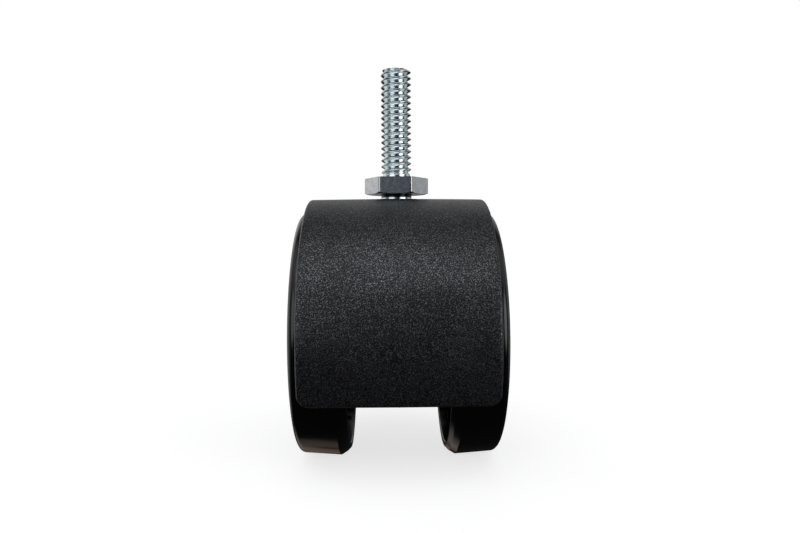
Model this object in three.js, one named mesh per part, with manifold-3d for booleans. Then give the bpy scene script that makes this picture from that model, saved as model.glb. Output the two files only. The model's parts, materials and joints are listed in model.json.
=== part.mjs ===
// Twin-wheel hooded swivel caster on a threaded stem, in millimetres.
//
// Frame: the origin is on the stem's axis, level with the top face of the hex collar, which is
// where the furniture seats. +Z runs up the stem, +X runs along the wheel axle, and the hood's
// long skirt faces -Y.
import * as THREE from "three";
import { mergeVertices } from "three/addons/utils/BufferGeometryUtils.js";
import Module from "manifold-3d";

const wasm = await Module();
wasm.setup();

// ---- driving dimensions ----

const STATIC_GAP = 0.1; // between pieces that never turn against each other
const RUNNING_GAP = 0.15; // radial, between a turning piece and its seat

// Stem: 1/4"-20 UNC, with a plain swivel pin below the pressed-on hex collar.
const THREAD_R = 3.15;
const THREAD_PITCH = 1.27;
const THREAD_DEPTH = 0.613 * THREAD_PITCH;
const STEM_TIP_Z = 22.65;
const TIP_CHAMFER = 0.35; // radial
const TIP_CHAMFER_HEIGHT = 0.5;
const NECK_R = 2.85;
const NECK_TOP_Z = 0.6;
const COLLAR_ACROSS_FLATS = 11.75;
const COLLAR_HEIGHT = 3.4;
const COLLAR_TURN = -3; // degrees from having a flat face to the front
const COLLAR_CHAMFER = 0.45; // round its underside
const COLLAR_COUNTERSINK = 0.4;

// Wheels and axle. Distances along X are from the caster's middle.
const WHEEL_R = 25;
const TREAD_TAPER = 0.5; // how much smaller the tread's outer edge is
const SHOULDER_WIDTH = 1.4; // rounding from the tread into the outer face, along X
const SHOULDER_DEPTH = 1.9; // and radially
const TRAIL = 3; // the axle lies this far ahead of the stem's axis
const AXLE_Z = -31.85;
const AXLE_R = 3;
const AXLE_HALF_LENGTH = 17.5;
const AXLE_CHAMFER = 0.4;
const WHEEL_INNER_X = 9.4;
const WHEEL_OUTER_X = 19.6;
const INNER_CHAMFER = 0.7; // on the tread's inner edge, at 45 degrees, then eased
const INNER_EASE = 1.15;
const HUB_R = 6;
const HUB_INNER_X = 9.6;
const WHEEL_WEB_INNER_X = 14.4;
const WHEEL_WEB_OUTER_X = 16;
const RIM_INNER_R = 22.6;
const WHEEL_RIB_COUNT = 8;
const WHEEL_RIB_THICKNESS = 1.2;
const WHEEL_RIB_INNER_X = 11.3;

// Cover in the wheel's outer face.
const COVER_SEAT_R = WHEEL_R - TREAD_TAPER - SHOULDER_DEPTH;
const COVER_LEDGE_R = 21.4;
const COVER_LEDGE_X = 17.2;
const COVER_FIT = 0.2; // around the cover, behind it, and how far its face is sunk
const COVER_BACK_X = 17;
const COVER_POCKET_X = 18; // behind its cap, where the axle's end has its room
const COVER_POCKET_R = 6.2;
const COVER_RIM_R = 20; // inner edge of its flat rim
const COVER_CAP_R = 7.2;
const COVER_DISH = 0.9; // how deep the disc lies between rim and cap

// Axle washer and retainer.
const WASHER_R = 5.4;
const WASHER_THICKNESS = 0.4;
const RETAINER_R = 5.6;
const RETAINER_DISH_R = 4.1;
const RETAINER_RISE = 0.45;

// Swivel pin, below the collar.
const PIN_R = 3.2;
const PIN_TIP_Z = AXLE_Z + 6.5;
const PIN_CHAMFER_HEIGHT = 1.2;
const SHOULDER_Z = -1.6; // the pin's top, inside the collar
const GROOVE_R = 2.4;
const GROOVE_Z = PIN_TIP_Z + 4.1; // middle of the snap ring groove
const GROOVE_HEIGHT = 1.2;
const SNAP_RING_R = 3.8;
const SNAP_RING_THICKNESS = 1;
const SNAP_RING_OPENING = 56; // degrees

// Hood, one moulding with the body between the wheels.
const HOOD_R = 27.2;
const HOOD_CROWN = 0.15; // how much the middle of the hood stands above its sides
const HOOD_WALL = 1.5;
const HOOD_HALF_WIDTH = 17.75;
const HOOD_FRONT_ANGLE = -21.4; // degrees above the axle, measured from the front
const HOOD_REAR_ANGLE = 150;
const HOOD_CORNER_R = 2.2;
const HOOD_EDGE = 0.6; // rounding along the hood's two sides
const BODY_HALF_WIDTH = 9;
const WEB_HALF_THICKNESS = 1.5;
const WEB_LOWER_EDGE = [
  [8, -4.2],
  [0, -6.2],
  [-9, -6.8],
]; // y and z from the axle, rear to front
const RIB_ANGLES = [14, 54, 128]; // degrees above the front
const RIB_THICKNESS = 1.6;
const BARREL_R = 6.5; // boss around the axle
const BARREL_HALF_WIDTH = 9.2;
const SOCKET_R = 6.4; // tower around the bush
const PAD_Z = AXLE_Z + 27.3; // flat pad where the stem enters the hood

// Bush pressed into the body, in which the stem's pin swivels.
const BUSH_R = 4.8;
const BUSH_BORE_R = PIN_R + 0.2;
const BUSH_TOP_Z = PAD_Z - 0.3;
const BUSH_FLOOR = 0.8;
const RING_ROOM_R = 4.1; // the bush's inner groove around the snap ring
const RING_ROOM_HEIGHT = 1.8;
const THRUST_DISC_HEIGHT = 0.8;
const BUSH_FLOOR_Z = PIN_TIP_Z - THRUST_DISC_HEIGHT - 2 * STATIC_GAP;

const ROUND = 24; // facets around a small shaft or hole
const WHEEL_FACETS = 40;
const HOOD_FACETS = 72;
const DEGREE = Math.PI / 180;

// ---- materials ----

const finish = (color, roughness, metalness) =>
  new THREE.MeshStandardMaterial({ color, roughness, metalness });
const hoodPlastic = finish(0x1c1d1f, 0.6, 0);
const wheelPlastic = finish(0x0c0c0c, 0.2, 0);
const zincPlate = finish(0xc4ccd0, 0.25, 1);
const plainSteel = finish(0x9a9c9e, 0.35, 1);
const springSteel = finish(0x55575a, 0.4, 1);
const nylon = finish(0xd8d6cc, 0.5, 0);

// ---- solids ----

// A three.js geometry as a manifold-3d solid.
function solidOf(geometry) {
  const bare = geometry.index ? geometry.toNonIndexed() : geometry.clone();
  bare.deleteAttribute("normal");
  bare.deleteAttribute("uv");
  const merged = mergeVertices(bare, 1e-4);
  return new wasm.Manifold(
    new wasm.Mesh({
      numProp: 3,
      vertProperties: new Float32Array(merged.attributes.position.array),
      triVerts: new Uint32Array(merged.index.array),
    }),
  );
}

// A manifold-3d solid as a flat-shaded three.js geometry.
function geometryOf(solid) {
  const mesh = solid.getMesh();
  const geometry = new THREE.BufferGeometry();
  geometry.setAttribute("position", new THREE.BufferAttribute(mesh.vertProperties, 3));
  geometry.setIndex(new THREE.BufferAttribute(mesh.triVerts, 1));
  const flat = geometry.toNonIndexed();
  flat.computeVertexNormals();
  return flat;
}

// Turns a profile of [radius, height] points about the Y axis. A profile that doesn't touch the
// axis is closed on itself, and its points are put in the order that faces outwards.
function turned(profile, facets = ROUND) {
  const points = profile.map(([r, h]) => new THREE.Vector2(r, h));
  const closed = profile[0][0] > 0;
  if (closed) points.push(points[0].clone());
  if (THREE.ShapeUtils.area(points) < 0) points.reverse();
  return new THREE.LatheGeometry(points, facets);
}

// The same about Z, and about X on the side of the caster that `side` (1 right, -1 left) names.
const turnedAboutZ = (profile, facets) => turned(profile, facets).rotateX(Math.PI / 2);
const turnedAboutX = (profile, facets, side = 1) =>
  turned(profile, facets).rotateZ((-side * Math.PI) / 2);

// A plain round rod along Z.
const rod = (radius, fromZ, toZ) =>
  turnedAboutZ([
    [0, fromZ],
    [radius, fromZ],
    [radius, toZ],
    [0, toZ],
  ]);

// A flat outline in Y and Z, extruded along X to both sides of the middle.
function slabAcrossX(outline, halfWidth) {
  const shape = new THREE.Shape(outline.map(([y, z]) => new THREE.Vector2(y, z)));
  return new THREE.ExtrudeGeometry(shape, { depth: 2 * halfWidth, bevelEnabled: false })
    .translate(0, 0, -halfWidth)
    .rotateX(Math.PI / 2)
    .rotateZ(Math.PI / 2);
}

// A point at a radius and an angle round the axle, as [y, z] from the axle's centre. The angle is
// in degrees above the front.
const aroundAxle = (radius, angle) => [
  -radius * Math.cos(angle * DEGREE),
  radius * Math.sin(angle * DEGREE),
];

function arcAroundAxle(radius, from, to, steps) {
  const points = [];
  for (let i = 0; i <= steps; i++) points.push(aroundAxle(radius, from + ((to - from) * i) / steps));
  return points;
}

// ---- stem ----

// A right-hand thread as one closed strip wound up a helix, each turn sharing its edges with the
// next. It is wound longer than needed, and the stem trims it.
function threadCore(bottomZ, turns) {
  const rootShare = 1 / 4; // of the pitch, flat
  const crestShare = 1 / 8;
  const flankShare = (1 - rootShare - crestShare) / 2;
  const rootR = THREAD_R - THREAD_DEPTH;
  const rows = [
    [0, rootR],
    [rootShare, rootR],
    [rootShare + flankShare, THREAD_R],
    [rootShare + flankShare + crestShare, THREAD_R],
  ]; // share of the pitch, radius
  const positions = [];
  const pointAt = (row, column) => {
    const turn = Math.floor(row / rows.length) + (column === ROUND ? 1 : 0);
    const angle = ((column % ROUND) / ROUND) * 2 * Math.PI;
    const [share, radius] = rows[row % rows.length];
    const lift = turn + share + (column % ROUND) / ROUND;
    return [radius * Math.cos(angle), radius * Math.sin(angle), bottomZ + lift * THREAD_PITCH];
  };
  const face = (...corners) => corners.forEach((corner) => positions.push(...corner));
  const rowCount = rows.length * turns;
  for (let row = 0; row < rowCount; row++)
    for (let column = 0; column < ROUND; column++) {
      const a = pointAt(row, column);
      const b = pointAt(row, column + 1);
      const c = pointAt(row + 1, column + 1);
      const d = pointAt(row + 1, column);
      face(a, b, c);
      face(a, c, d);
    }
  // Each end is closed by a fan from the axis to the last turn's edge and its step.
  const bottomHub = [0, 0, bottomZ + THREAD_PITCH / 2];
  const topHub = [0, 0, bottomZ + (turns + 0.5) * THREAD_PITCH];
  for (let column = 0; column < ROUND; column++) {
    face(bottomHub, pointAt(0, column + 1), pointAt(0, column));
    face(topHub, pointAt(rowCount, column), pointAt(rowCount, column + 1));
  }
  for (let row = 0; row < rows.length; row++) {
    face(bottomHub, pointAt(row, 0), pointAt(row + 1, 0));
    face(topHub, pointAt(rowCount + row + 1, 0), pointAt(rowCount + row, 0));
  }
  return new THREE.BufferGeometry().setAttribute(
    "position",
    new THREE.Float32BufferAttribute(positions, 3),
  );
}

function threadedStem() {
  const clear = THREAD_R + 0.1;
  const overlap = 0.2; // of thread and neck
  const runOut = 0.8; // over which the thread fades at the neck
  const trim = solidOf(
    turnedAboutZ([
      [0, NECK_TOP_Z - overlap],
      [NECK_R - overlap, NECK_TOP_Z - overlap],
      [clear, NECK_TOP_Z - overlap + runOut],
      [clear, STEM_TIP_Z - TIP_CHAMFER_HEIGHT - overlap],
      [THREAD_R - TIP_CHAMFER, STEM_TIP_Z],
      [0, STEM_TIP_Z],
    ]),
  );
  const spareTurns = 1.5; // at either end, trimmed off
  const turns = Math.ceil((STEM_TIP_Z - NECK_TOP_Z) / THREAD_PITCH + 2 * spareTurns);
  const bottomZ = NECK_TOP_Z - spareTurns * THREAD_PITCH;
  const thread = solidOf(threadCore(bottomZ, turns)).intersect(trim);

  const pin = solidOf(
    turnedAboutZ([
      [0, PIN_TIP_Z],
      [0.4 * PIN_R, PIN_TIP_Z],
      [0.7 * PIN_R, PIN_TIP_Z + 0.3 * PIN_CHAMFER_HEIGHT],
      [PIN_R, PIN_TIP_Z + PIN_CHAMFER_HEIGHT],
      [PIN_R, GROOVE_Z - GROOVE_HEIGHT / 2],
      [GROOVE_R, GROOVE_Z - GROOVE_HEIGHT / 2],
      [GROOVE_R, GROOVE_Z + GROOVE_HEIGHT / 2],
      [PIN_R, GROOVE_Z + GROOVE_HEIGHT / 2],
      [PIN_R, SHOULDER_Z],
      [NECK_R, SHOULDER_Z],
      [NECK_R, NECK_TOP_Z],
      [0, NECK_TOP_Z],
    ]),
  );
  return geometryOf(pin.add(thread));
}

// The hexagon is sharp-edged on top and chamfered underneath. Its bore is countersunk on top, and
// stepped so that it stands on the pin's shoulder.
function hexCollar() {
  const cornerR = COLLAR_ACROSS_FLATS / Math.sqrt(3);
  const beyond = cornerR + 0.05;
  const edge = 0.15; // broken on the upper corners
  const boreR = NECK_R + STATIC_GAP;
  const hexagon = solidOf(
    new THREE.CylinderGeometry(cornerR, cornerR, COLLAR_HEIGHT, 6)
      .rotateX(Math.PI / 2)
      .rotateZ(Math.PI / 6 + COLLAR_TURN * DEGREE)
      .translate(0, 0, -COLLAR_HEIGHT / 2),
  );
  const envelope = solidOf(
    turnedAboutZ(
      [
        [boreR, -COLLAR_COUNTERSINK],
        [boreR + COLLAR_COUNTERSINK, 0],
        [cornerR - edge, 0],
        [beyond, -edge],
        [beyond, -COLLAR_HEIGHT + COLLAR_CHAMFER],
        [COLLAR_ACROSS_FLATS / 2 - STATIC_GAP, -COLLAR_HEIGHT],
        [PIN_R + STATIC_GAP, -COLLAR_HEIGHT],
        [PIN_R + STATIC_GAP, SHOULDER_Z + STATIC_GAP],
        [boreR, SHOULDER_Z + STATIC_GAP],
      ],
      36,
    ),
  );
  return geometryOf(hexagon.intersect(envelope));
}

// A split ring sprung into the pin's groove. It holds the pin in the bush.
function stemSnapRing() {
  const innerR = GROOVE_R + RUNNING_GAP;
  const start = (SNAP_RING_OPENING / 2) * DEGREE;
  const shape = new THREE.Shape();
  shape.absarc(0, 0, SNAP_RING_R, start, 2 * Math.PI - start, false);
  shape.absarc(0, 0, innerR, 2 * Math.PI - start, start, true);
  shape.closePath();
  return new THREE.ExtrudeGeometry(shape, {
    depth: SNAP_RING_THICKNESS,
    bevelEnabled: false,
    curveSegments: ROUND / 2,
  }).translate(0, 0, GROOVE_Z - SNAP_RING_THICKNESS / 2);
}

// A drawn steel cup. Its inner groove gives the snap ring its room.
function stemBush() {
  const bottomZ = BUSH_FLOOR_Z - BUSH_FLOOR;
  const chamfer = 0.3;
  const roomTopZ = GROOVE_Z + RING_ROOM_HEIGHT / 2;
  const roomBottomZ = GROOVE_Z - RING_ROOM_HEIGHT / 2;
  return turnedAboutZ([
    [0, bottomZ],
    [BUSH_R - chamfer, bottomZ],
    [BUSH_R, bottomZ + chamfer],
    [BUSH_R, BUSH_TOP_Z],
    [BUSH_BORE_R + chamfer, BUSH_TOP_Z],
    [BUSH_BORE_R, BUSH_TOP_Z - chamfer],
    [BUSH_BORE_R, roomTopZ],
    [RING_ROOM_R, roomTopZ],
    [RING_ROOM_R, roomBottomZ],
    [BUSH_BORE_R, roomBottomZ],
    [BUSH_BORE_R, BUSH_FLOOR_Z],
    [0, BUSH_FLOOR_Z],
  ]);
}

// The pin's end runs on this disc at the floor of the bush.
function stemThrustDisc() {
  const bottomZ = BUSH_FLOOR_Z + STATIC_GAP;
  const rim = 0.2;
  return turnedAboutZ([
    [0, bottomZ],
    [PIN_R - rim, bottomZ],
    [PIN_R, bottomZ + rim],
    [PIN_R, bottomZ + THRUST_DISC_HEIGHT - rim],
    [PIN_R - rim, bottomZ + THRUST_DISC_HEIGHT],
    [0, bottomZ + THRUST_DISC_HEIGHT],
  ]);
}

// ---- hood ----

// Everything here is centred on the axle until the last step moves it to its place.
function hoodBody() {
  const outerAt = (x) => HOOD_R + HOOD_CROWN * (1 - (x / HOOD_HALF_WIDTH) ** 2);
  const innerR = HOOD_R - HOOD_WALL;
  const cut = 0.3 * HOOD_EDGE; // what the rounding takes off halfway round
  const crossSection = [
    [innerR, -HOOD_HALF_WIDTH],
    [HOOD_R - HOOD_EDGE, -HOOD_HALF_WIDTH],
    [HOOD_R - cut, cut - HOOD_HALF_WIDTH],
  ];
  for (const share of [-1, -0.5, 0, 0.5, 1]) {
    const x = share * (HOOD_HALF_WIDTH - HOOD_EDGE);
    crossSection.push([outerAt(x), x]);
  }
  crossSection.push([HOOD_R - cut, HOOD_HALF_WIDTH - cut]);
  crossSection.push([HOOD_R - HOOD_EDGE, HOOD_HALF_WIDTH]);
  crossSection.push([innerR, HOOD_HALF_WIDTH]);
  const ring = solidOf(turnedAboutX(crossSection, HOOD_FACETS));
  const farArc = arcAroundAxle(1.5 * HOOD_R, HOOD_FRONT_ANGLE, HOOD_REAR_ANGLE, 12);
  const sector = solidOf(slabAcrossX([[0, 0], ...farArc].reverse(), HOOD_HALF_WIDTH + 1));
  let body = ring.intersect(sector);

  // The skirts' four corners are rounded.
  const corner = new THREE.Shape();
  corner.moveTo(-1, -1);
  corner.lineTo(HOOD_CORNER_R, -1);
  corner.lineTo(HOOD_CORNER_R, 0);
  corner.absarc(HOOD_CORNER_R, HOOD_CORNER_R, HOOD_CORNER_R, -Math.PI / 2, -Math.PI, true);
  corner.lineTo(-1, HOOD_CORNER_R);
  corner.closePath();
  for (const [angle, upwards] of [
    [HOOD_FRONT_ANGLE, 1],
    [HOOD_REAR_ANGLE, -1],
  ])
    for (const side of [-1, 1]) {
      // In the cutter, x runs inwards from the hood's side and y up along the skirt.
      const along = new THREE.Vector3(-side, 0, 0);
      const up = new THREE.Vector3(
        0,
        upwards * Math.sin(angle * DEGREE),
        upwards * Math.cos(angle * DEGREE),
      );
      const out = new THREE.Vector3().crossVectors(along, up);
      const cutter = new THREE.ExtrudeGeometry(corner, {
        depth: 4 * HOOD_WALL,
        bevelEnabled: false,
        curveSegments: 5,
      }).translate(0, 0, -2 * HOOD_WALL);
      const [y, z] = aroundAxle(HOOD_R - HOOD_WALL / 2, angle);
      const place = new THREE.Matrix4()
        .makeBasis(along, up, out)
        .setPosition(side * HOOD_HALF_WIDTH, y, z);
      body = body.subtract(solidOf(cutter.applyMatrix4(place)));
    }

  // The web in the middle joins the skirts to the two bosses.
  const reach = HOOD_R - HOOD_WALL / 2;
  const setBack = 3; // degrees, from either end of the skirts
  const upperEdge = arcAroundAxle(
    reach,
    HOOD_FRONT_ANGLE + setBack,
    HOOD_REAR_ANGLE - setBack,
    24,
  );
  const web = slabAcrossX([...upperEdge, ...WEB_LOWER_EDGE].reverse(), WEB_HALF_THICKNESS);
  body = body.add(solidOf(web));

  // Ribs across the body, each in a plane through the axle, stop short of the wheels.
  const ribStart = BARREL_R - 1;
  for (const angle of RIB_ANGLES) {
    const plate = new THREE.BoxGeometry(2 * BODY_HALF_WIDTH, reach - ribStart, RIB_THICKNESS)
      .translate(0, -(reach + ribStart) / 2, 0)
      .rotateX(-angle * DEGREE);
    body = body.add(solidOf(plate));
  }

  // Bosses for the axle and for the stem's bush, with a flat pad cut on top of the second.
  const padZ = PAD_Z - AXLE_Z;
  const above = padZ + 2 * HOOD_WALL;
  const bushBottom = BUSH_FLOOR_Z - BUSH_FLOOR - STATIC_GAP - AXLE_Z;
  const barrel = rod(BARREL_R, -BARREL_HALF_WIDTH, BARREL_HALF_WIDTH);
  const tower = rod(SOCKET_R, 0, padZ);
  const abovePad = rod(SOCKET_R, padZ, above);
  const axleBore = rod(AXLE_R + STATIC_GAP, -BARREL_HALF_WIDTH - 1, BARREL_HALF_WIDTH + 1);
  const bushBore = rod(BUSH_R + STATIC_GAP, bushBottom, above);
  const acrossX = (geometry) => solidOf(geometry.rotateY(Math.PI / 2));
  const onStem = (geometry) => solidOf(geometry.translate(0, TRAIL, 0));
  body = body.add(acrossX(barrel)).add(onStem(tower));
  for (const cut of [onStem(abovePad), acrossX(axleBore), onStem(bushBore)])
    body = body.subtract(cut);
  return geometryOf(body.translate([0, -TRAIL, AXLE_Z]));
}

// ---- wheels ----

// A wheel's pieces are drawn round the axle, at their distance from the caster's middle.
function wheel(side) {
  const boreR = AXLE_R + RUNNING_GAP;
  const shoulder = [0, 30, 60, 90].map((angle) => [
    COVER_SEAT_R + SHOULDER_DEPTH * Math.cos(angle * DEGREE),
    WHEEL_OUTER_X - SHOULDER_WIDTH * (1 - Math.sin(angle * DEGREE)),
  ]);
  const draft = 0.2;
  const easeX = WHEEL_INNER_X + INNER_CHAMFER + INNER_EASE;
  let solid = solidOf(
    turnedAboutX(
      [
        [boreR, HUB_INNER_X],
        [HUB_R, HUB_INNER_X],
        [HUB_R, WHEEL_WEB_INNER_X],
        [RIM_INNER_R - draft, WHEEL_WEB_INNER_X + 2 * draft],
        [RIM_INNER_R, WHEEL_INNER_X + draft],
        [RIM_INNER_R + draft, WHEEL_INNER_X],
        [WHEEL_R - 2 * INNER_CHAMFER, WHEEL_INNER_X],
        [WHEEL_R - INNER_CHAMFER, WHEEL_INNER_X + INNER_CHAMFER],
        [WHEEL_R, easeX],
        ...shoulder,
        [COVER_SEAT_R, COVER_LEDGE_X],
        [COVER_LEDGE_R, COVER_LEDGE_X],
        [COVER_LEDGE_R, WHEEL_WEB_OUTER_X],
        [boreR, WHEEL_WEB_OUTER_X],
      ],
      WHEEL_FACETS,
      side,
    ),
  );
  // The ribs run a little way into the hub, the rim and the web.
  const overlap = 0.3;
  const ribHeight = RIM_INNER_R - HUB_R + 2 * overlap;
  const ribWidth = WHEEL_WEB_INNER_X + overlap - WHEEL_RIB_INNER_X;
  const ribX = side * (WHEEL_RIB_INNER_X + ribWidth / 2);
  for (let i = 0; i < WHEEL_RIB_COUNT; i++) {
    const plate = new THREE.BoxGeometry(ribWidth, WHEEL_RIB_THICKNESS, ribHeight)
      .translate(ribX, 0, (RIM_INNER_R + HUB_R) / 2)
      .rotateX(((i + 0.5) / WHEEL_RIB_COUNT) * 2 * Math.PI);
    solid = solid.add(solidOf(plate));
  }
  return geometryOf(solid);
}

// The disc that snaps into the wheel's outer face and hides the axle's end.
function wheelCover(side) {
  const outerR = COVER_SEAT_R - COVER_FIT;
  const faceX = WHEEL_OUTER_X - COVER_FIT;
  const seatX = COVER_LEDGE_X + COVER_FIT;
  const slope = 1.2; // radial run of each sloping face
  const edge = 0.3;
  return turnedAboutX(
    [
      [0, COVER_POCKET_X],
      [COVER_POCKET_R, COVER_POCKET_X],
      [COVER_POCKET_R + slope, COVER_BACK_X],
      [COVER_LEDGE_R - COVER_FIT - slope, COVER_BACK_X],
      [COVER_LEDGE_R - COVER_FIT, seatX],
      [outerR, seatX],
      [outerR, faceX - edge],
      [outerR - edge, faceX],
      [COVER_RIM_R, faceX],
      [COVER_RIM_R - slope, faceX - COVER_DISH],
      [COVER_CAP_R + slope, faceX - COVER_DISH],
      [COVER_CAP_R, faceX - edge],
      [COVER_CAP_R / 2, faceX],
      [0, faceX],
    ],
    WHEEL_FACETS,
    side,
  );
}

function axlePin() {
  return turnedAboutX([
    [0, -AXLE_HALF_LENGTH],
    [AXLE_R - AXLE_CHAMFER, -AXLE_HALF_LENGTH],
    [AXLE_R, -AXLE_HALF_LENGTH + AXLE_CHAMFER],
    [AXLE_R, AXLE_HALF_LENGTH - AXLE_CHAMFER],
    [AXLE_R - AXLE_CHAMFER, AXLE_HALF_LENGTH],
    [0, AXLE_HALF_LENGTH],
  ]);
}

// A flat washer keeps the turning hub off the retainer's teeth.
function axleWasher(side) {
  const nearX = WHEEL_WEB_OUTER_X + STATIC_GAP;
  const farX = nearX + WASHER_THICKNESS;
  return turnedAboutX(
    [
      [AXLE_R + STATIC_GAP, nearX],
      [WASHER_R, nearX],
      [WASHER_R, farX],
      [AXLE_R + STATIC_GAP, farX],
    ],
    ROUND,
    side,
  );
}

// A dished push-on ring that bites the axle's end and keeps the wheel on.
function axleRetainer(side) {
  const nearX = WHEEL_WEB_OUTER_X + WASHER_THICKNESS + 2 * STATIC_GAP;
  const farX = nearX + WASHER_THICKNESS; // it is of the washer's thickness
  return turnedAboutX(
    [
      [AXLE_R + STATIC_GAP, nearX + RETAINER_RISE],
      [RETAINER_DISH_R, nearX],
      [RETAINER_R, nearX],
      [RETAINER_R, farX],
      [RETAINER_DISH_R, farX],
      [AXLE_R + STATIC_GAP, farX + RETAINER_RISE],
    ],
    ROUND,
    side,
  );
}

// ---- assembly ----

const caster = new THREE.Group();

function addPiece(parent, name, geometry, material) {
  const mesh = new THREE.Mesh(geometry, material);
  mesh.name = name;
  parent.add(mesh);
}

addPiece(caster, "threaded_stem", threadedStem(), zincPlate);
addPiece(caster, "hex_collar", hexCollar(), plainSteel);
addPiece(caster, "stem_snap_ring", stemSnapRing(), springSteel);
addPiece(caster, "stem_bush", stemBush(), plainSteel);
addPiece(caster, "stem_thrust_disc", stemThrustDisc(), nylon);
addPiece(caster, "hood_body", hoodBody(), hoodPlastic);

const axleGroup = new THREE.Group();
axleGroup.position.set(0, -TRAIL, AXLE_Z);
caster.add(axleGroup);
addPiece(axleGroup, "axle_pin", axlePin(), plainSteel);
for (const [name, side] of [
  ["left", -1],
  ["right", 1],
]) {
  addPiece(axleGroup, `wheel_${name}`, wheel(side), wheelPlastic);
  addPiece(axleGroup, `wheel_cover_${name}`, wheelCover(side), wheelPlastic);
  addPiece(axleGroup, `axle_washer_${name}`, axleWasher(side), plainSteel);
  addPiece(axleGroup, `axle_retainer_${name}`, axleRetainer(side), springSteel);
}

export default caster;
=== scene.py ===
import json
import math

import bmesh
import bpy
from mathutils import Matrix, Vector


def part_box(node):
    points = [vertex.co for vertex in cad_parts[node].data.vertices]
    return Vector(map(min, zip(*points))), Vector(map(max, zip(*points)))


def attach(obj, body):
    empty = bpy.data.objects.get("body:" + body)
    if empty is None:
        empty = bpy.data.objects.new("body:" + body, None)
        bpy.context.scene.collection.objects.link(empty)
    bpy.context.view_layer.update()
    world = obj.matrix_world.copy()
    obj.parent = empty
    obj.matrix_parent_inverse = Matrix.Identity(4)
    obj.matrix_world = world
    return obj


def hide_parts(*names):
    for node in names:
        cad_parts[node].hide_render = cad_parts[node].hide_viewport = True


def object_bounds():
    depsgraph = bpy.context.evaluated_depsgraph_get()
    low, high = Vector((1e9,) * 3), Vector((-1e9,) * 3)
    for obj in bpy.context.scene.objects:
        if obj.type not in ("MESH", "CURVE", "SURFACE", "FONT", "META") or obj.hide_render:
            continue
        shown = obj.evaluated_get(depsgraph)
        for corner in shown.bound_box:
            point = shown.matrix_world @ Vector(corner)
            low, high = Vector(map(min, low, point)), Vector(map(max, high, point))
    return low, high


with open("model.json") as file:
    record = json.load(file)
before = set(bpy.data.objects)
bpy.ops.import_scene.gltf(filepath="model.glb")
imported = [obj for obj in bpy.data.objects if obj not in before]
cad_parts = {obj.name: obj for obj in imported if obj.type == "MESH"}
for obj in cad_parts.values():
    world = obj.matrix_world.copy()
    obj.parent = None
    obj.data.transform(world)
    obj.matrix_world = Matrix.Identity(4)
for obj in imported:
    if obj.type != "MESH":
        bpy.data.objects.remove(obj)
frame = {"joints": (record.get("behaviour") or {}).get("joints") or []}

CAD_BOUNDS = [list(corner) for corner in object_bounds()]
MM = 0.001
TAU = 2 * math.pi
JOINTS = {joint["name"]: joint for joint in frame["joints"]}
AXLE = Vector(JOINTS["left_wheel_spin"]["pos_m"])
SIDES = {"left": -1, "right": 1}
AXLE_R = 3
GAP = 0.1  # between pieces that don't turn against each other


# ---- geometry helpers ----
# A profile is a list of (radius, height) or (radius, height, fillet), in millimetres.


def filleted(profile, closed, steps=5):
    """The profile with each corner that has a fillet replaced by an arc."""
    points = [Vector(point[:2]) for point in profile]
    fillets = [point[2] if len(point) > 2 else 0 for point in profile]
    out = []
    count = len(points)
    for i, corner in enumerate(points):
        ends = not closed and i in (0, count - 1)
        if ends or fillets[i] == 0:
            out.append(corner)
            continue
        to_last = (points[i - 1] - corner).normalized()
        to_next = (points[(i + 1) % count] - corner).normalized()
        half = to_last.angle(to_next) / 2
        reach = fillets[i] / math.tan(half)
        centre = corner + (to_last + to_next).normalized() * fillets[i] / math.sin(half)
        start = corner + to_last * reach - centre
        sweep = (math.pi - 2 * half) * math.copysign(1, to_next.cross(to_last))
        for step in range(steps + 1):
            angle = sweep * step / steps
            turn = Matrix.Rotation(angle, 2)
            out.append(centre + turn @ start)
    return out


def new_object(name, mesh):
    piece = bpy.data.objects.new(name, mesh)
    bpy.context.scene.collection.objects.link(piece)
    return piece


def mesh_from(name, vertices, faces):
    """A smooth-shaded object from points in millimetres, with its faces turned outwards."""
    mesh = bpy.data.meshes.new(name)
    mesh.from_pydata([Vector(v) * MM for v in vertices], [], faces)
    bm = bmesh.new()
    bm.from_mesh(mesh)
    bmesh.ops.remove_doubles(bm, verts=bm.verts, dist=1e-8)
    bmesh.ops.recalc_face_normals(bm, faces=bm.faces)
    bm.to_mesh(mesh)
    bm.free()
    return new_object(name, mesh)


def surface(name, rows, facets, closed):
    """A body whose rows are (height, radius at an angle) round Z. A closed one's rows form a ring."""
    vertices = []
    for height, radius_at in rows:
        for column in range(facets):
            angle = TAU * column / facets
            radius = radius_at(angle)
            vertices.append((radius * math.cos(angle), radius * math.sin(angle), height))
    faces = []
    count = len(rows)
    for row in range(count if closed else count - 1):
        above = (row + 1) % count
        for column in range(facets):
            beside = (column + 1) % facets
            faces.append(
                (
                    row * facets + column,
                    row * facets + beside,
                    above * facets + beside,
                    above * facets + column,
                )
            )
    if not closed:
        faces.append(tuple(range(facets)))
        faces.append(tuple((count - 1) * facets + column for column in range(facets)))
    return mesh_from(name, vertices, faces)


def lathe(name, profile, facets=128, steps=5):
    """A profile turned about Z. One that starts and ends on the axis is left open there."""
    closed = profile[0][0] > 0
    points = filleted(profile, closed, steps)
    if not closed:
        points = points[1:-1]
    rows = [(point.y, lambda angle, radius=point.x: radius) for point in points]
    return surface(name, rows, facets, closed)


def rod(name, radius, bottom, top):
    return lathe(name, [(0, bottom), (radius, bottom), (radius, top), (0, top)])


def along_x(piece, side=1):
    """Lays a piece turned about Z along X on one side of the axle, at its place."""
    piece.data.transform(Matrix.Translation(AXLE) @ Matrix.Rotation(side * math.pi / 2, 4, "Y"))
    return piece


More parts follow.
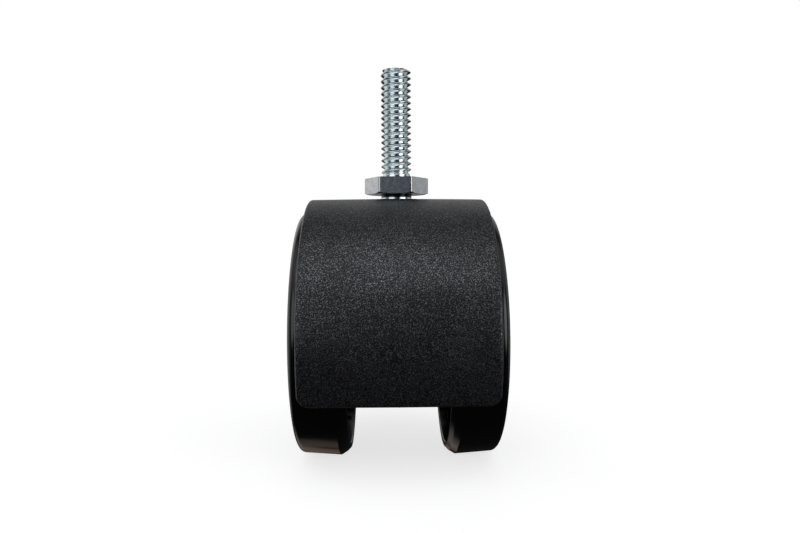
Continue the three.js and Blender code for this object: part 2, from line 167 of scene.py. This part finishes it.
def prism(name, outline, half_width):
    """An outline in Y and Z, in millimetres, extruded along X to both sides of the middle."""
    count = len(outline)
    vertices = [(side * half_width, y, z) for side in (-1, 1) for y, z in outline]
    faces = [tuple(range(count)), tuple(range(count, 2 * count))]
    for i in range(count):
        beside = (i + 1) % count
        faces.append((i, beside, count + beside, count + i))
    return mesh_from(name, vertices, faces)


def combine(piece, others, operation):
    """Joins the others to the piece, or cuts them from it, and deletes them."""
    for other in others:
        modifier = piece.modifiers.new("combine", "BOOLEAN")
        modifier.object = other
        modifier.operation = operation
        modifier.solver = "MANIFOLD"
        apply_modifiers(piece)
        bpy.data.objects.remove(other)
    return piece


def apply_modifiers(piece):
    graph = bpy.context.evaluated_depsgraph_get()
    graph.update()
    final = bpy.data.meshes.new_from_object(piece.evaluated_get(graph))
    piece.modifiers.clear()
    old = piece.data
    piece.data = final
    bpy.data.meshes.remove(old)


def shade(piece, sharp=30):
    """Smooth shading, except across edges sharper than the angle."""
    for polygon in piece.data.polygons:
        polygon.use_smooth = True
    piece.data.set_sharp_from_angle(angle=math.radians(sharp))
    return piece


def finish_piece(piece, body, material, slot, *nodes, sharp=30):
    """Shades and dresses a piece, and puts it on its body in place of its CAD nodes."""
    shade(piece, sharp)
    piece.data.materials.clear()
    piece.data.materials.append(material)
    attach(piece, body)
    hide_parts(*nodes)
    return piece


# ---- materials ----


class Nodes:
    """A material's node tree, built one node at a time in millimetres of the piece's own space."""

    def __init__(self, name):
        self.material = bpy.data.materials.new(name)
        self.material.use_nodes = True
        self.tree = self.material.node_tree
        self.shader = self.tree.nodes["Principled BSDF"]
        coordinates = self.tree.nodes.new("ShaderNodeTexCoord")
        scale = self.tree.nodes.new("ShaderNodeVectorMath")
        scale.operation = "SCALE"
        scale.inputs["Scale"].default_value = 1 / MM
        self.tree.links.new(coordinates.outputs["Object"], scale.inputs[0])
        self.position = scale.outputs[0]

    def add(self, kind, links=None, **values):
        """A node with its sockets set: links name other nodes' outputs, values plain numbers."""
        node = self.tree.nodes.new(kind)
        for key, value in values.items():
            if hasattr(node, key):
                setattr(node, key, value)
            else:
                node.inputs[key.replace("_", " ")].default_value = value
        for key, output in (links or {}).items():
            self.tree.links.new(output, node.inputs[key])
        return node

    def noise(self, size, detail=3, stretch=(1, 1, 1)):
        """Noise from 0 to 1 with features of a size in millimetres."""
        mapping = self.add("ShaderNodeMapping", {"Vector": self.position})
        mapping.inputs["Scale"].default_value = [1 / (size * s) for s in stretch]
        node = self.add(
            "ShaderNodeTexNoise", {"Vector": mapping.outputs[0]}, Scale=1.0, Detail=detail
        )
        return node.outputs["Fac"]

    def ramp(self, output, stops):
        """Maps a value through (position, colour or grey) stops."""
        node = self.add("ShaderNodeValToRGB", {"Fac": output})
        elements = node.color_ramp.elements
        while len(elements) < len(stops):
            elements.new(0.5)
        for element, (position, colour) in zip(elements, stops):
            element.position = position
            element.color = (*colour, 1) if isinstance(colour, tuple) else (colour,) * 3 + (1,)
        return node.outputs["Color"]

    def math(self, operation, first, second):
        node = self.add("ShaderNodeMath")
        node.operation = operation
        for socket, value in zip(node.inputs, (first, second)):
            if isinstance(value, (int, float)):
                socket.default_value = value
            else:
                self.tree.links.new(value, socket)
        return node.outputs[0]

    def bump(self, height, depth):
        """A bump whose height output 1 stands a depth in millimetres above 0."""
        node = self.add("ShaderNodeBump", {"Height": height}, Strength=1.0)
        node.inputs["Distance"].default_value = depth * MM
        return node.outputs[0]

    def set(self, **sockets):
        """Shader sockets by name: an output is linked, and a number or colour is set."""
        for key, value in sockets.items():
            socket = self.shader.inputs[key.replace("_", " ")]
            if isinstance(value, bpy.types.NodeSocket):
                self.tree.links.new(value, socket)
            else:
                socket.default_value = value
        return self


def hood_plastic():
    """Charcoal nylon moulded in a spark-eroded tool: its grain glints in the light like metal."""
    n = Nodes("hood_plastic")
    cloud = n.math("MULTIPLY", n.math("SUBTRACT", n.noise(8, 3), 0.5), 0.12)
    grain = n.math("ADD", n.noise(0.18, 1), cloud)
    speck = n.ramp(grain, [(0.53, 0.0), (0.67, 1.0)])
    tint = n.ramp(speck, [(0.0, (0.0047, 0.005, 0.0058)), (1.0, (0.2, 0.206, 0.222))])
    rough = n.ramp(n.noise(0.6, 2), [(0.3, 0.31), (0.7, 0.39)])
    bump = n.bump(n.noise(0.4, 1), 0.07)
    n.set(Base_Color=tint, Metallic=speck, Roughness=rough, Normal=bump, IOR=1.36)
    return n.material


def wheel_plastic():
    """Glossy black nylon, with a faint ripple along the rim."""
    n = Nodes("wheel_plastic")
    tint = n.ramp(n.noise(7, 3), [(0.35, (0.0018, 0.0017, 0.0017)), (0.7, (0.0032, 0.003, 0.003))])
    rough = n.ramp(n.noise(2.5, 4), [(0.35, 0.12), (0.75, 0.2)])
    ripple = n.noise(1.6, 2, stretch=(0.5, 3, 3))
    n.set(Base_Color=tint, Roughness=rough, Normal=n.bump(ripple, 0.004), IOR=1.5)
    return n.material


def metal(name, dark, bright, rough, grain=0.35, depth=0.006, stretch=(1, 1, 1), painted_shade_band=None):
    """Bare or plated metal, mottled at two scales, and darkened almost to black between two heights
    as painted shade.
    """
    n = Nodes(name)
    fine = n.math("MULTIPLY", n.noise(0.3, 2), 0.4)
    mottle = n.math("ADD", n.math("MULTIPLY", n.noise(1.6, 4), 0.6), fine)
    tint = n.ramp(mottle, [(0.38, dark), (0.58, bright)])
    # Painted shade: a band between two heights is darkened to near black, standing for the shade
    # under the hex collar.
    if painted_shade_band:
        height = n.add("ShaderNodeSeparateXYZ", {"Vector": n.position}).outputs["Z"]
        share = n.add("ShaderNodeMapRange", {"Value": height}, From_Min=painted_shade_band[0], From_Max=painted_shade_band[1])
        painted_shade = n.ramp(share.outputs[0], [(0.0, 1.0), (0.06, 0.04), (0.94, 0.04), (1.0, 1.0)])
        tint = n.add("ShaderNodeVectorMath", {0: tint, 1: painted_shade}, operation="MULTIPLY").outputs[0]
    gloss = n.ramp(n.noise(0.8, 4), [(0.3, rough[0]), (0.7, rough[1])])
    height = n.noise(grain, 3, stretch)
    n.set(Base_Color=tint, Metallic=1.0, Roughness=gloss, Normal=n.bump(height, depth))
    return n.material


def nylon():
    """Natural, slightly yellow nylon."""
    n = Nodes("nylon")
    tint = n.ramp(n.noise(2, 3), [(0.3, (0.62, 0.6, 0.53)), (0.7, (0.7, 0.68, 0.62))])
    n.set(Base_Color=tint, Roughness=0.5, Normal=n.bump(n.noise(0.3, 2), 0.01))
    return n.material


HOOD = hood_plastic()
WHEEL = wheel_plastic()
ZINC = metal(
    "zinc_plate",
    (0.68, 0.76, 0.79),
    (0.84, 0.91, 0.93),
    (0.1, 0.2),
    depth=0.003,
    # painted shade on the pin just under the hex collar
    painted_shade_band=(-4.2, -0.6),
)
COLLAR = metal("collar_steel", (0.44, 0.46, 0.48), (0.58, 0.6, 0.62), (0.16, 0.26), depth=0.004)
STEEL = metal("plain_steel", (0.36, 0.36, 0.37), (0.5, 0.5, 0.5), (0.25, 0.4), stretch=(3, 3, 0.4))
SPRING = metal("spring_steel", (0.09, 0.09, 0.1), (0.16, 0.16, 0.17), (0.3, 0.45))
NYLON = nylon()


# ---- stem ----

stem_low, stem_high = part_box("threaded_stem")
collar_low, collar_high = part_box("hex_collar")
ring_low, ring_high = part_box("stem_snap_ring")
STEM_TIP = stem_high.z / MM
PIN_TIP = stem_low.z / MM
THREAD_R = (stem_high.x - stem_low.x) / 2 / MM
THREAD_PITCH = 1.27
THREAD_DEPTH = 0.76
THREAD_START = 0.6
NECK_R = 2.85
PIN_R = 3.2
GROOVE_R = 2.4
GROOVE_Z = (ring_low.z + ring_high.z) / 2 / MM
GROOVE_HALF = 0.6
PIN_CHAMFER = 1.2
SHOULDER_Z = -1.6


def build_stem():
    """The thread is one right-hand helix: a radius that depends on angle and height."""
    crest = THREAD_R - 0.02
    chamfer, chamfer_height = 0.38, 0.5
    run_in = 0.9  # the height over which the thread grows out of the neck
    crest_share, root_share = 0.06, 0.04  # of the pitch
    rounding = 0.75  # how much of the flank is an S curve, the rest being straight
    steps_per_turn = 26
    facets = 96

    def thread_radius(angle, z):
        phase = (z / THREAD_PITCH - angle / TAU) % 1.0
        from_crest = abs(phase - 0.5) * 2
        flank = (from_crest - crest_share) / (1 - crest_share - root_share)
        flank = min(max(flank, 0), 1)
        eased = rounding * flank * flank * (3 - 2 * flank) + (1 - rounding) * flank
        starting = min((z - THREAD_START) / run_in, 1)
        radius = NECK_R + (crest - THREAD_DEPTH * eased - NECK_R) * starting
        return min(radius, crest - chamfer * (1 - (STEM_TIP - z) / chamfer_height))

    lower = filleted(
        [
            (0, PIN_TIP),
            (1.9, PIN_TIP, 1.2),
            (PIN_R, PIN_TIP + PIN_CHAMFER, 0.4),
            (PIN_R, GROOVE_Z - GROOVE_HALF, 0.1),
            (GROOVE_R, GROOVE_Z - GROOVE_HALF, 0.1),
            (GROOVE_R, GROOVE_Z + GROOVE_HALF, 0.1),
            (PIN_R, GROOVE_Z + GROOVE_HALF, 0.1),
            (PIN_R, SHOULDER_Z, 0.12),
            (NECK_R, SHOULDER_Z, 0.1),
            (NECK_R, THREAD_START),
        ],
        closed=False,
    )[1:]
    rows = [(point.y, lambda angle, radius=point.x: radius) for point in lower]
    count = round((STEM_TIP - THREAD_START) / THREAD_PITCH * steps_per_turn)
    for step in range(1, count + 1):
        z = THREAD_START + (STEM_TIP - THREAD_START) * step / count
        rows.append((z, lambda angle, z=z: thread_radius(angle, z)))
    rim = rows[-1][1](0)
    rows.append((STEM_TIP, lambda angle: rim - 0.15))
    return surface("stem", rows, facets, closed=False)


def build_collar():
    """A hexagon with sharp upper edges, its corners and its underside rounded off."""
    height = (collar_high.z - collar_low.z) / MM
    turn = math.radians(-3)
    corner = (collar_high.x - collar_low.x) / 2 / MM / math.cos(turn)
    apothem = corner * math.cos(math.pi / 6)
    sharpness = 60  # of the hexagon's corners
    side_steps = 10
    underside = 0.55  # the height of the rounding under the hexagon

    def hexagon(angle):
        total = 0.0
        for i in range(6):
            facing = math.cos(angle - turn + math.pi / 2 - i * math.pi / 3)
            total += max(facing / apothem, 0) ** sharpness
        return total ** (-1 / sharpness)

    def trimmed(limit):
        return lambda angle: min(hexagon(angle), limit)

    rows = []
    for step in range(side_steps + 1):
        share = step / side_steps
        limit = apothem - 0.12 + (corner - apothem + 0.2) * math.sin(share * math.pi / 2)
        z = -height + underside * (1 - math.cos(share * math.pi / 2))
        rows.append((z, trimmed(limit)))
    for share in (0.3, 0.5, 0.7, 0.9):
        rows.append((-height * (1 - share), trimmed(corner)))
    for drawn_in, z in ((0, -0.16), (0.04, -0.08), (0.16, -0.02), (0.3, 0)):
        rows.append((z, trimmed(corner - drawn_in)))
    bore = [
        (NECK_R + 0.35, 0),
        (NECK_R + 0.12, -0.2),
        (NECK_R + GAP, SHOULDER_Z + GAP),
        (PIN_R + GAP, SHOULDER_Z + GAP),
        (PIN_R + GAP, GAP - height),
        (PIN_R + 0.25, -height),
    ]
    rows += [(z, lambda angle, radius=radius: radius) for radius, z in bore]
    return surface("collar", rows, 360, closed=True)


def build_snap_ring():
    """A split ring of round-edged strip."""
    inner, outer = GROOVE_R + 0.15, -ring_low.x / MM
    bottom, top = ring_low.z / MM, ring_high.z / MM
    opening = math.radians(28)  # half of the ring's slot
    edge = 0.12
    corners = [(inner, bottom), (outer, bottom), (outer, top), (inner, top)]
    section = filleted([(radius, z, edge) for radius, z in corners], closed=True, steps=3)
    steps = 64
    vertices = []
    for step in range(steps + 1):
        angle = opening + (TAU - 2 * opening) * step / steps
        vertices += [(p.x * math.cos(angle), p.x * math.sin(angle), p.y) for p in section]
    count = len(section)
    faces = [tuple(range(count)), tuple(steps * count + i for i in range(count))]
    for step in range(steps):
        for i in range(count):
            beside = (i + 1) % count
            first, second = step * count, (step + 1) * count
            faces.append((first + i, first + beside, second + beside, second + i))
    return mesh_from("snap_ring", vertices, faces)


finish_piece(build_stem(), "stem", ZINC, "zinc_plate", "threaded_stem")
finish_piece(build_collar(), "stem", COLLAR, "collar_steel", "hex_collar", sharp=25)
finish_piece(build_snap_ring(), "stem", SPRING, "spring_steel", "stem_snap_ring")

bush_low, bush_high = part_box("stem_bush")
BUSH_R = (bush_high.x - bush_low.x) / 2 / MM
BUSH_TOP = bush_high.z / MM
BUSH_BOTTOM = bush_low.z / MM
BUSH_BORE_R = 3.4
RECESS_R = 4.1  # where the snap ring springs open
RECESS_HALF = 0.9
disc_low, disc_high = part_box("stem_thrust_disc")
DISC_BOTTOM = disc_low.z / MM
DISC_TOP = disc_high.z / MM
DISC_R = (disc_high.x - disc_low.x) / 2 / MM
bush = lathe(
    "bush",
    [
        (0, BUSH_BOTTOM),
        (BUSH_R, BUSH_BOTTOM, 0.5),
        (BUSH_R, BUSH_TOP, 0.15),
        (BUSH_BORE_R + 0.05, BUSH_TOP, 0.3),
        (BUSH_BORE_R, GROOVE_Z + RECESS_HALF),
        (RECESS_R, GROOVE_Z + RECESS_HALF),
        (RECESS_R, GROOVE_Z - RECESS_HALF),
        (BUSH_BORE_R, GROOVE_Z - RECESS_HALF),
        (BUSH_BORE_R, DISC_BOTTOM - GAP),
        (0, DISC_BOTTOM - GAP),
    ],
)
disc = lathe(
    "thrust_disc",
    [(0, DISC_BOTTOM), (DISC_R, DISC_BOTTOM, 0.2), (DISC_R, DISC_TOP, 0.2), (0, DISC_TOP)],
)
finish_piece(bush, "hood", STEEL, "plain_steel", "stem_bush")
finish_piece(disc, "hood", NYLON, "nylon", "stem_thrust_disc")


# ---- hood ----

hood_low, hood_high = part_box("hood_body")
HOOD_HALF = (hood_high.x - hood_low.x) / 2 / MM
HOOD_CROWN = 0.15
HOOD_R = (AXLE.y - hood_low.y) / MM - HOOD_CROWN
HOOD_WALL = 1.5
HOOD_EDGE = 0.62  # the rounding along the skirt's sides
RIDGE_HALF = 0.12  # the mould's parting line stands proud along the middle
RIDGE_HEIGHT = 0.05
HOOD_FRONT = math.asin((hood_low.z - AXLE.z) / MM / HOOD_R)
HOOD_REAR = math.radians(150)
CORNER_R = 2.2
TRAIL = -AXLE.y / MM
WEB_HALF = 1.5
RIB_HALF = 0.8
RIB_ANGLES = (14, 54, 128)
RIB_HALF_WIDTH = 9.0
BARREL_R = 6.5
BARREL_HALF = 9.2
TOWER_R = 6.4
PAD_Z = 27.3  # above the axle
CUT_PAST = 5  # how far a hole's cutter reaches past the face


def around_axle(radius, angle):
    """A point in Y and Z from the axle's centre. The angle is in radians above the front."""
    return (-radius * math.cos(angle), radius * math.sin(angle))


def hood_section(inset_ends, inset_walls):
    """The skirt's cross-section as (x, radius) points, rounded, and drawn in near its ends."""
    half = HOOD_HALF - inset_ends
    inner = HOOD_R - HOOD_WALL + inset_walls
    flat_half = half - HOOD_EDGE
    edge_steps, steps = 8, 24
    outer = []
    for step in range(edge_steps + 1):
        angle = math.pi / 2 * (1 - step / edge_steps)
        drop = HOOD_EDGE * math.sin(angle) - HOOD_EDGE
        outer.append((flat_half + HOOD_EDGE * math.cos(angle), HOOD_R + drop))
    middle = [flat_half * (2 * step / steps - 1) for step in range(1, steps)]
    ridge_foot = 1.6 * RIDGE_HALF
    middle += [-ridge_foot, -RIDGE_HALF, RIDGE_HALF, ridge_foot]
    crowned = [
        (x, HOOD_R + (RIDGE_HEIGHT if abs(x) <= RIDGE_HALF else 0)) for x in sorted(middle)
    ]
    section = [(-x, r) for x, r in reversed(outer)] + crowned + outer
    section = [
        (x, r - inset_walls + HOOD_CROWN * max(0, 1 - (x / HOOD_HALF) ** 2)) for x, r in section
    ]
    lip, lip_middle = 0.25, 0.07  # the small rounding inside the skirt's sides
    right = [(half, inner + lip), (half - lip_middle, inner + lip_middle), (half - lip, inner)]
    section += right + [(-x, r) for x, r in reversed(right)]
    return section


def build_fender():
    """The hood's skirt: a crowned shell round the axle, with rounded corners and edges."""
    edge = 0.55  # the rounding of the skirt's ends
    edge_steps, corner_steps, steps = 6, 8, 110
    arc = HOOD_REAR - HOOD_FRONT
    length = arc * HOOD_R
    start = [edge * (1 - math.cos(step / edge_steps * math.pi / 2)) for step in range(edge_steps + 1)]
    for step in range(1, corner_steps + 1):
        start.append(edge + (CORNER_R - edge) * step / corner_steps)
    stations = list(start)
    for step in range(1, steps):
        stations.append(CORNER_R + (length - 2 * CORNER_R) * step / steps)
    stations += [length - station for station in reversed(start)]
    vertices = []
    count = 0
    for station in stations:
        from_end = min(station, length - station)
        inset_ends = 0
        if from_end < CORNER_R:
            inset_ends = CORNER_R - math.sqrt(max(CORNER_R**2 - (CORNER_R - from_end) ** 2, 0))
        inset_walls = 0
        if from_end < edge:
            inset_walls = edge - math.sqrt(max(edge**2 - (edge - from_end) ** 2, 0))
        # A little short of full rounding, so that the section keeps its size at the very end.
        section = hood_section(inset_ends * 0.96, inset_walls * 0.9)
        count = len(section)
        for x, radius in section:
            y, z = around_axle(radius, HOOD_FRONT + arc * station / length)
            vertices.append((x, y, z))
    rings = len(stations)
    faces = [tuple(range(count)), tuple((rings - 1) * count + i for i in range(count))]
    for ring in range(rings - 1):
        for i in range(count):
            beside = (i + 1) % count
            first, second = ring * count, (ring + 1) * count
            faces.append((first + i, first + beside, second + beside, second + i))
    return mesh_from("hood", vertices, faces)


def moved(piece, matrix):
    piece.data.transform(matrix)
    return piece


def build_core():
    """The web, ribs and bosses between the wheels, joined in one body about the axle's centre."""
    reach = HOOD_R - HOOD_WALL / 2
    steps = 48
    start, end = HOOD_FRONT + math.radians(3), HOOD_REAR - math.radians(3)
    outline = [around_axle(reach, start + (end - start) * i / steps) for i in range(steps + 1)]
    outline += [(8, -4.2), (0, -6.2), (-9, -6.8)]
    core = prism("core", outline, WEB_HALF)
    pieces = []
    root = 5  # where a rib ends inside the barrel
    rib = [(-reach, -RIB_HALF), (-root, -RIB_HALF), (-root, RIB_HALF), (-reach, RIB_HALF)]
    for degrees in RIB_ANGLES:
        plate = prism("rib", rib, RIB_HALF_WIDTH)
        pieces.append(moved(plate, Matrix.Rotation(-math.radians(degrees), 4, "X")))
    ends = [(BARREL_R, -BARREL_HALF, 0.3), (BARREL_R, BARREL_HALF, 0.3)]
    barrel = lathe("barrel", [(0, -BARREL_HALF), *ends, (0, BARREL_HALF)])
    pieces.append(moved(barrel, Matrix.Rotation(math.pi / 2, 4, "Y")))
    tower = lathe("tower", [(0, 0), (TOWER_R, 0), (TOWER_R, PAD_Z, 0.2), (0, PAD_Z)])
    pieces.append(moved(tower, Matrix.Translation((0, TRAIL * MM, 0))))
    return combine(core, pieces, "UNION")


def build_hood():
    """The skirt and the core in one, with holes for the bush and the axle and a flat round pad."""
    hood = combine(build_fender(), [build_core()], "UNION")
    bottom = BUSH_BOTTOM - GAP - AXLE.z / MM
    bush_hole = rod("bush_hole", BUSH_R + GAP, bottom, PAD_Z + CUT_PAST)
    above = rod("above", TOWER_R, PAD_Z, PAD_Z + CUT_PAST)
    axle_hole = rod("axle_hole", AXLE_R + GAP, -BARREL_HALF - CUT_PAST, BARREL_HALF + CUT_PAST)
    moved(axle_hole, Matrix.Rotation(math.pi / 2, 4, "Y"))
    for cutter in (bush_hole, above):
        moved(cutter, Matrix.Translation((0, TRAIL * MM, 0)))
    combine(hood, [above, bush_hole, axle_hole], "DIFFERENCE")
    return moved(hood, Matrix.Translation(AXLE))


finish_piece(build_hood(), "hood", HOOD, "hood_plastic", "hood_body")


# ---- wheels and axle ----

WHEEL_R = (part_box("wheel_right")[1].z - AXLE.z) / MM
INNER_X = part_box("wheel_right")[0].x / MM
OUTER_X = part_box("wheel_right")[1].x / MM
SEAT_R = WHEEL_R - 2.4  # of the cover's seat in the outer face
SEAT_X = 17.2
LEDGE_R = 21.4
WEB_X = 16  # the outer side of the wheel's web
BORE_R = AXLE_R + 0.15
HUB_R = 6
HUB_X = 9.6
SHOULDER_WIDTH = 1.4
WHEEL_RIBS = 8


def build_wheel(side):
    """A dished wheel: tread, chamfered inner rim, round outer shoulder, hub and eight ribs."""
    shoulder = []
    steps = 8
    edge = 0.1
    for step in range(steps + 1):
        turn = math.pi / 2 * step / steps
        lost = SHOULDER_WIDTH * (1 - math.sin(turn))
        shoulder.append((SEAT_R + edge + 1.8 * math.cos(turn), OUTER_X - lost))
    shoulder.append((SEAT_R, OUTER_X - edge))
    wheel = lathe(
        side + "_wheel_piece",
        [
            (BORE_R, HUB_X, 0.15),
            (HUB_R, HUB_X, 0.3),
            (HUB_R, 14.4, 0.4),
            (22.4, 14.8, 0.5),
            (22.6, INNER_X + 0.2, 0.08),
            (22.8, INNER_X, 0.1),
            (23.6, INNER_X, 0.12),
            (WHEEL_R - 0.7, INNER_X + 0.7, 0.15),
            (WHEEL_R, INNER_X + 1.85, 0.4),
            *shoulder,
            (SEAT_R, SEAT_X),
            (LEDGE_R, SEAT_X),
            (LEDGE_R, WEB_X, 0.3),
            (BORE_R, WEB_X, 0.15),
        ],
        facets=180,
    )
    ribs = []
    root, tip, half, half_width, rib_x = 5.6, 22.9, 0.6, 1.7, 13
    upright = Matrix.Rotation(-math.pi / 2, 4, "Y")
    for i in range(WHEEL_RIBS):
        rib = prism("rib", [(-half, root), (half, root), (half, tip), (-half, tip)], half_width)
        turn = Matrix.Rotation((i + 0.5) / WHEEL_RIBS * TAU, 4, "X")
        ribs.append(moved(rib, upright @ turn @ Matrix.Translation((rib_x * MM, 0, 0))))
    combine(wheel, ribs, "UNION")
    return along_x(wheel, SIDES[side])


def build_cover(side):
    """A thin dished disc with a raised rim and a domed cap, hollow over the axle's end."""
    face = OUTER_X - 0.2
    dish = face - 0.9
    rim_r, cap_r = 20, 7.2
    back = SEAT_X - 0.2
    cover = lathe(
        side + "_cover_piece",
        [
            (0, back + 1.1),
            (cap_r - 1, back + 1),
            (cap_r + 0.2, back),
            (LEDGE_R - 1.4, back),
            (LEDGE_R - 0.2, SEAT_X + 0.2),
            (SEAT_R - 0.2, SEAT_X + 0.2, 0.1),
            (SEAT_R - 0.2, face, 0.3),
            (rim_r, face, 0.4),
            (rim_r - 1.2, dish, 1),
            (cap_r + 1.2, dish, 1),
            (cap_r, face - 0.3, 0.8),
            (cap_r / 2, face, 2),
            (0, face),
        ],
        facets=180,
    )
    return along_x(cover, SIDES[side])


def build_washer(side):
    """A flat washer beside the hub, round-edged."""
    inner, outer = AXLE_R + GAP, 5.4
    near, far = WEB_X + 0.1, WEB_X + 0.5
    corners = [(inner, near), (outer, near), (outer, far), (inner, far)]
    washer = lathe(side + "_washer_piece", [(radius, x, 0.05) for radius, x in corners])
    return along_x(washer, SIDES[side])


def build_retainer(side):
    """A push-on ring, its inner lip bent outwards."""
    retainer = lathe(
        side + "_retainer_piece",
        [
            (AXLE_R + GAP, 17.05),
            (4.1, 16.6),
            (5.6, 16.6, 0.08),
            (5.6, 17, 0.08),
            (4.2, 17),
            (AXLE_R + GAP, 17.4),
        ],
    )
    return along_x(retainer, SIDES[side])


for side in SIDES:
    body = side + "_wheel"
    finish_piece(build_wheel(side), body, WHEEL, "wheel_plastic", "wheel_" + side)
    finish_piece(build_cover(side), body, WHEEL, "wheel_plastic", "wheel_cover_" + side)
    finish_piece(build_washer(side), "hood", STEEL, "plain_steel", "axle_washer_" + side)
    finish_piece(build_retainer(side), "hood", SPRING, "spring_steel", "axle_retainer_" + side)

AXLE_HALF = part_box("axle_pin")[1].x / MM
axle_ends = [(AXLE_R, -AXLE_HALF, 0.4), (AXLE_R, AXLE_HALF, 0.4)]
axle = lathe("axle", [(0, -AXLE_HALF), *axle_ends, (0, AXLE_HALF)])
finish_piece(along_x(axle), "hood", STEEL, "plain_steel", "axle_pin")


# ---- stage, light and camera ----

FLOOR_Z = CAD_BOUNDS[0][2]
FLOOR_R = 3000
SURROUND_R = 3050
SURROUND_BOTTOM, SURROUND_TOP = -90, 2500
CAMERA_FROM_AXLE = Vector((-1.8, -138.44, 19.48)) * MM


def stage_material(name, colour, glow):
    n = Nodes(name)
    tint = n.ramp(n.noise(60, 2), [(0.3, colour), (0.7, tuple(c * 0.99 for c in colour))])
    n.set(Base_Color=tint, Roughness=0.9, Specular_IOR_Level=0.0)
    n.set(Emission_Color=(1, 1, 1, 1), Emission_Strength=glow)
    return n.material


def build_stage():
    """A pale floor in a white surround, which only the camera sees: the world lights the caster."""
    floor = lathe("floor", [(0, -2), (FLOOR_R, -2), (FLOOR_R, 0), (0, 0)], facets=96)
    moved(floor, Matrix.Translation((0, 0, FLOOR_Z)))
    floor.data.materials.append(stage_material("floor", (0.55, 0.55, 0.55), 0.72))
    corners = [(SURROUND_R, SURROUND_BOTTOM), (SURROUND_R, SURROUND_TOP)]
    wall = [(0, SURROUND_BOTTOM), *corners, (0, SURROUND_TOP)]
    surround = lathe("surround", wall, facets=96)
    surround.data.materials.append(stage_material("surround", (0, 0, 0), 1.0))
    for stage in (floor, surround):
        stage.visible_glossy = False
        stage.visible_diffuse = False
        stage.visible_shadow = False


def direction(azimuth, elevation):
    """A unit vector. The azimuth is in degrees to the right of the front."""
    azimuth, elevation = math.radians(azimuth), math.radians(elevation)
    across = math.cos(elevation)
    return Vector((math.sin(azimuth) * across, -math.cos(azimuth) * across, math.sin(elevation)))


# The studio's soft panels: azimuth, elevation, full and outer half-angles, brightness, tint.
PANELS = [
    (0, 90, 45, 75, 0.05, (1, 1, 1)),
    (180, 84, 4, 21, 0.35, (1, 1, 1)),
    (-4, 60, 8, 30, 1.3, (0.98, 1, 1.05)),
    (-80, 50, 15, 30, 0.5, (1, 1, 1)),
    (80, 50, 15, 30, 0.5, (1, 1, 1)),
    (50, 12, 15, 26, 2.2, (1, 1, 1)),
    (-38, 18, 16, 27, 1.3, (1, 1, 1)),
    (-6, 4, 5, 14, 0.1, (0.8, 0.95, 1.2)),
    (-126, 6, 12, 42, 0.75, (1, 1, 1)),
    (-90, 0, 10, 35, 0.2, (0.9, 0.97, 1)),
    (114, 6, 12, 32, 0.5, (0.97, 1, 1)),
    (-148, -43, 6, 16, 0.33, (1, 0.96, 0.92)),
    (-170, -25, 6, 9, 0.22, (1, 0.75, 0.62)),
    (-168, -42, 6, 9, 0.22, (1, 0.75, 0.62)),
    (-161, -60, 6, 9, 0.22, (1, 0.75, 0.62)),
    (180, 28, 18, 44, 0.43, (1, 1, 1)),
]
AMBIENT = 0.013


def build_world():
    """Soft panels all round the caster, painted on the sky so that they throw no hard shadow."""
    world = bpy.data.worlds.new("studio")
    bpy.context.scene.world = world
    world.use_nodes = True
    tree = world.node_tree
    background = tree.nodes["Background"]
    coordinates = tree.nodes.new("ShaderNodeTexCoord")
    total = None
    for azimuth, elevation, inner, outer, strength, tint in PANELS:
        dot = tree.nodes.new("ShaderNodeVectorMath")
        dot.operation = "DOT_PRODUCT"
        dot.inputs[1].default_value = direction(azimuth, elevation)
        tree.links.new(coordinates.outputs["Generated"], dot.inputs[0])
        fade = tree.nodes.new("ShaderNodeMapRange")
        fade.interpolation_type = "SMOOTHSTEP"
        fade.inputs["From Min"].default_value = math.cos(math.radians(outer))
        fade.inputs["From Max"].default_value = math.cos(math.radians(inner))
        tree.links.new(dot.outputs["Value"], fade.inputs["Value"])
        panel = tree.nodes.new("ShaderNodeVectorMath")
        panel.operation = "SCALE"
        panel.inputs[0].default_value = Vector(tint) * strength
        tree.links.new(fade.outputs[0], panel.inputs["Scale"])
        if total is None:
            total = panel.outputs[0]
            continue
        add = tree.nodes.new("ShaderNodeVectorMath")
        tree.links.new(total, add.inputs[0])
        tree.links.new(panel.outputs[0], add.inputs[1])
        total = add.outputs[0]
    base = tree.nodes.new("ShaderNodeVectorMath")
    base.inputs[1].default_value = (AMBIENT, AMBIENT, AMBIENT)
    tree.links.new(total, base.inputs[0])
    tree.links.new(base.outputs[0], background.inputs["Color"])


def build_camera():
    """A camera in front, near enough for the perspective to show, and turned in radians."""
    yaw, pitch, roll = -0.01763, -0.0433, 0.00465
    camera = bpy.data.cameras.new("camera")
    camera.sensor_width = 36
    camera.lens = 29.87
    camera.shift_y = -0.0008
    camera.clip_start = 0.001
    holder = new_object("camera", camera)
    turn = Matrix.Rotation(yaw, 4, "Z") @ Matrix.Rotation(pitch, 4, "X")
    look = turn @ Matrix.Rotation(roll, 4, "Y") @ Matrix.Rotation(math.pi / 2, 4, "X")
    holder.matrix_world = Matrix.Translation(AXLE + CAMERA_FROM_AXLE) @ look
    bpy.context.scene.camera = holder


build_stage()
build_world()
build_camera()

bpy.context.scene.view_settings.view_transform = "Standard"
